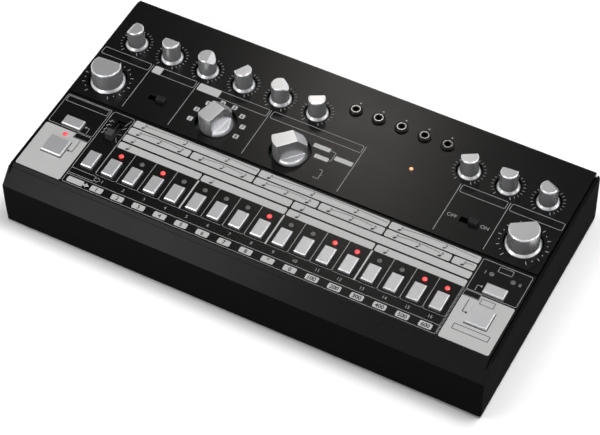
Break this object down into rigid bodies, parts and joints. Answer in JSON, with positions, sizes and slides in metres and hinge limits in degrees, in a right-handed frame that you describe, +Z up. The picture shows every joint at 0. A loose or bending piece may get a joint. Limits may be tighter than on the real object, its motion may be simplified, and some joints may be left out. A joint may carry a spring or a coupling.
{
  "type": "drum machine",
  "caption": "Tabletop drum machine: flat black case with raised control panel, grey knobs and selectors, a row of light step keys with red lamps, and sockets on top and rear.",
  "frame": {"origin": "centre of the footprint at the height of the surface it stands on", "axes": "+X to the right along the row of keys, +Y to the rear sockets, +Z up through the knobs"},
  "size_m": [0.305, 0.1578, 0.0541],
  "materials": {
    "case_black": "fine matte black moulded plastic",
    "panel_black": "satin black paint",
    "cover_black": "matte black powder coat",
    "knob_grey": "smooth satin grey plastic",
    "key_grey": "smooth satin light grey plastic",
    "slider_black": "satin black",
    "slider_grey": "satin grey",
    "lamp_lens": "clear diffused lens",
    "nut_nickel": "nickel plate",
    "screw_steel": "zinc plate",
    "socket_black": "moulded black",
    "switch_black": "moulded black",
    "board_green": "solder mask",
    "foot_rubber": "matte rubber",
    "cable_grey": "ribbon insulation"
  },
  "bodies": {
    "case": {"case_shell": "case_black", "control_panel": "panel_black", "key_panel": "panel_black", "bottom_cover": "cover_black", "rubber_feet": "foot_rubber", "screws": "screw_steel", "panel_board": "board_green", "key_switches": "switch_black", "potentiometers": "switch_black", "rotary_switches": "switch_black", "slide_switch_bodies": "switch_black", "top_sockets": "socket_black", "socket_nuts": "socket_black", "step_lamps": "lamp_lens", "status_lamps": "lamp_lens", "rear_board": "board_green", "rear_sockets": "socket_black", "five_pin_sockets": "socket_black", "usb_socket": "nut_nickel", "power_inlet": "socket_black", "power_switch_body": "switch_black", "ribbon_cable": "cable_grey"},
    "step_button_1": {"step_button_1": "key_grey"},
    "step_button_2": {"step_button_2": "key_grey"},
    "step_button_3": {"step_button_3": "key_grey"},
    "step_button_4": {"step_button_4": "key_grey"},
    "step_button_5": {"step_button_5": "key_grey"},
    "step_button_6": {"step_button_6": "key_grey"},
    "step_button_7": {"step_button_7": "key_grey"},
    "step_button_8": {"step_button_8": "key_grey"},
    "step_button_9": {"step_button_9": "key_grey"},
    "step_button_10": {"step_button_10": "key_grey"},
    "step_button_11": {"step_button_11": "key_grey"},
    "step_button_12": {"step_button_12": "key_grey"},
    "step_button_13": {"step_button_13": "key_grey"},
    "step_button_14": {"step_button_14": "key_grey"},
    "step_button_15": {"step_button_15": "key_grey"},
    "step_button_16": {"step_button_16": "key_grey"},
    "function_button": {"function_button": "key_grey"},
    "start_stop_button": {"start_stop_button": "key_grey"},
    "tap_button": {"tap_button": "key_grey"},
    "clear_button": {"clear_button": "key_grey"},
    "pattern_group_button": {"pattern_group_button": "key_grey"},
    "accent_knob": {"accent_knob": "knob_grey"},
    "bass_drum_knob": {"bass_drum_knob": "knob_grey"},
    "snare_knob": {"snare_knob": "knob_grey"},
    "tom_knob": {"tom_knob": "knob_grey"},
    "cymbal_knob": {"cymbal_knob": "knob_grey"},
    "hi_hat_knob": {"hi_hat_knob": "knob_grey"},
    "distortion_knob": {"distortion_knob": "knob_grey"},
    "tone_knob": {"tone_knob": "knob_grey"},
    "level_knob": {"level_knob": "knob_grey"},
    "tempo_knob": {"tempo_knob": "knob_grey"},
    "volume_knob": {"volume_knob": "knob_grey"},
    "instrument_selector": {"instrument_selector": "knob_grey"},
    "mode_selector": {"mode_selector": "knob_grey"},
    "clap_switch": {"clap_switch": "slider_black"},
    "distortion_switch": {"distortion_switch": "slider_black"},
    "scale_switch": {"scale_switch": "slider_grey"},
    "power_button": {"power_button": "slider_black"}
  },
  "joints": [
    {"name": "step_button_1_press", "type": "slide", "parent": "case", "child": "step_button_1", "axis": [0, 0, 1], "range_m": [-0.0008, 0], "stiffness_N_per_m": 1200, "springref_m": 0.0006},
    {"name": "step_button_2_press", "type": "slide", "parent": "case", "child": "step_button_2", "axis": [0, 0, 1], "range_m": [-0.0008, 0], "stiffness_N_per_m": 1200, "springref_m": 0.0006},
    {"name": "step_button_3_press", "type": "slide", "parent": "case", "child": "step_button_3", "axis": [0, 0, 1], "range_m": [-0.0008, 0], "stiffness_N_per_m": 1200, "springref_m": 0.0006},
    {"name": "step_button_4_press", "type": "slide", "parent": "case", "child": "step_button_4", "axis": [0, 0, 1], "range_m": [-0.0008, 0], "stiffness_N_per_m": 1200, "springref_m": 0.0006},
    {"name": "step_button_5_press", "type": "slide", "parent": "case", "child": "step_button_5", "axis": [0, 0, 1], "range_m": [-0.0008, 0], "stiffness_N_per_m": 1200, "springref_m": 0.0006},
    {"name": "step_button_6_press", "type": "slide", "parent": "case", "child": "step_button_6", "axis": [0, 0, 1], "range_m": [-0.0008, 0], "stiffness_N_per_m": 1200, "springref_m": 0.0006},
    {"name": "step_button_7_press", "type": "slide", "parent": "case", "child": "step_button_7", "axis": [0, 0, 1], "range_m": [-0.0008, 0], "stiffness_N_per_m": 1200, "springref_m": 0.0006},
    {"name": "step_button_8_press", "type": "slide", "parent": "case", "child": "step_button_8", "axis": [0, 0, 1], "range_m": [-0.0008, 0], "stiffness_N_per_m": 1200, "springref_m": 0.0006},
    {"name": "step_button_9_press", "type": "slide", "parent": "case", "child": "step_button_9", "axis": [0, 0, 1], "range_m": [-0.0008, 0], "stiffness_N_per_m": 1200, "springref_m": 0.0006},
    {"name": "step_button_10_press", "type": "slide", "parent": "case", "child": "step_button_10", "axis": [0, 0, 1], "range_m": [-0.0008, 0], "stiffness_N_per_m": 1200, "springref_m": 0.0006},
    {"name": "step_button_11_press", "type": "slide", "parent": "case", "child": "step_button_11", "axis": [0, 0, 1], "range_m": [-0.0008, 0], "stiffness_N_per_m": 1200, "springref_m": 0.0006},
    {"name": "step_button_12_press", "type": "slide", "parent": "case", "child": "step_button_12", "axis": [0, 0, 1], "range_m": [-0.0008, 0], "stiffness_N_per_m": 1200, "springref_m": 0.0006},
    {"name": "step_button_13_press", "type": "slide", "parent": "case", "child": "step_button_13", "axis": [0, 0, 1], "range_m": [-0.0008, 0], "stiffness_N_per_m": 1200, "springref_m": 0.0006},
    {"name": "step_button_14_press", "type": "slide", "parent": "case", "child": "step_button_14", "axis": [0, 0, 1], "range_m": [-0.0008, 0], "stiffness_N_per_m": 1200, "springref_m": 0.0006},
    {"name": "step_button_15_press", "type": "slide", "parent": "case", "child": "step_button_15", "axis": [0, 0, 1], "range_m": [-0.0008, 0], "stiffness_N_per_m": 1200, "springref_m": 0.0006},
    {"name": "step_button_16_press", "type": "slide", "parent": "case", "child": "step_button_16", "axis": [0, 0, 1], "range_m": [-0.0008, 0], "stiffness_N_per_m": 1200, "springref_m": 0.0006},
    {"name": "function_button_press", "type": "slide", "parent": "case", "child": "function_button", "axis": [0, 0, 1], "range_m": [-0.0008, 0], "stiffness_N_per_m": 1200, "springref_m": 0.0006},
    {"name": "start_stop_button_press", "type": "slide", "parent": "case", "child": "start_stop_button", "axis": [0, 0, 1], "range_m": [-0.0008, 0], "stiffness_N_per_m": 1200, "springref_m": 0.0006},
    {"name": "tap_button_press", "type": "slide", "parent": "case", "child": "tap_button", "axis": [0, 0, 1], "range_m": [-0.0008, 0], "stiffness_N_per_m": 1200, "springref_m": 0.0006},
    {"name": "clear_button_press", "type": "slide", "parent": "case", "child": "clear_button", "axis": [0, 0, 1], "range_m": [-0.0008, 0], "stiffness_N_per_m": 1200, "springref_m": 0.0006},
    {"name": "pattern_group_button_press", "type": "slide", "parent": "case", "child": "pattern_group_button", "axis": [0, 0, 1], "range_m": [-0.0008, 0], "stiffness_N_per_m": 1200, "springref_m": 0.0006},
    {"name": "accent_turn", "type": "hinge", "parent": "case", "child": "accent_knob", "pos_m": [-0.13415, 0.04545, 0.0417], "axis": [0, 0, 1], "range_deg": [-239, 61]},
    {"name": "bass_drum_turn", "type": "hinge", "parent": "case", "child": "bass_drum_knob", "pos_m": [-0.10976, 0.04545, 0.0417], "axis": [0, 0, 1], "range_deg": [-150, 150]},
    {"name": "snare_turn", "type": "hinge", "parent": "case", "child": "snare_knob", "pos_m": [-0.08537, 0.04545, 0.0417], "axis": [0, 0, 1], "range_deg": [-66, 234]},
    {"name": "tom_turn", "type": "hinge", "parent": "case", "child": "tom_knob", "pos_m": [-0.06098, 0.04545, 0.0417], "axis": [0, 0, 1], "range_deg": [-209, 91]},
    {"name": "cymbal_turn", "type": "hinge", "parent": "case", "child": "cymbal_knob", "pos_m": [-0.03659, 0.04545, 0.0417], "axis": [0, 0, 1], "range_deg": [-89, 211]},
    {"name": "hi_hat_turn", "type": "hinge", "parent": "case", "child": "hi_hat_knob", "pos_m": [-0.01219, 0.04545, 0.0417], "axis": [0, 0, 1], "range_deg": [-178, 122]},
    {"name": "distortion_turn", "type": "hinge", "parent": "case", "child": "distortion_knob", "pos_m": [0.08537, 0.04545, 0.0417], "axis": [0, 0, 1], "range_deg": [-179.5, 120.5]},
    {"name": "tone_turn", "type": "hinge", "parent": "case", "child": "tone_knob", "pos_m": [0.10976, 0.04545, 0.0417], "axis": [0, 0, 1], "range_deg": [-155, 145]},
    {"name": "level_turn", "type": "hinge", "parent": "case", "child": "level_knob", "pos_m": [0.13415, 0.04545, 0.0417], "axis": [0, 0, 1], "range_deg": [-120, 180]},
    {"name": "tempo_turn", "type": "hinge", "parent": "case", "child": "tempo_knob", "pos_m": [-0.13415, 0.0119, 0.0417], "axis": [0, 0, 1], "range_deg": [-153, 147]},
    {"name": "volume_turn", "type": "hinge", "parent": "case", "child": "volume_knob", "pos_m": [0.13415, 0.0119, 0.0417], "axis": [0, 0, 1], "range_deg": [-182, 118]},
    {"name": "instrument_selector_turn", "type": "hinge", "parent": "case", "child": "instrument_selector", "pos_m": [-0.06098, 0.0119, 0.0417], "axis": [0, 0, 1], "range_deg": [-90, 120]},
    {"name": "mode_selector_turn", "type": "hinge", "parent": "case", "child": "mode_selector", "pos_m": [-0.01219, 0.0119, 0.0417], "axis": [0, 0, 1], "range_deg": [-90, 0]},
    {"name": "clap_switch_slide", "type": "slide", "parent": "case", "child": "clap_switch", "axis": [1, 0, 0], "range_m": [-0.0054, 0]},
    {"name": "distortion_switch_slide", "type": "slide", "parent": "case", "child": "distortion_switch", "axis": [1, 0, 0], "range_m": [-0.0054, 0]},
    {"name": "scale_switch_slide", "type": "slide", "parent": "case", "child": "scale_switch", "axis": [0, 1, 0], "range_m": [0, 0.0108]},
    {"name": "power_button_press", "type": "slide", "parent": "case", "child": "power_button", "axis": [0, 1, 0], "range_m": [-0.002, 0], "stiffness_N_per_m": 900, "springref_m": 0.001}
  ]
}
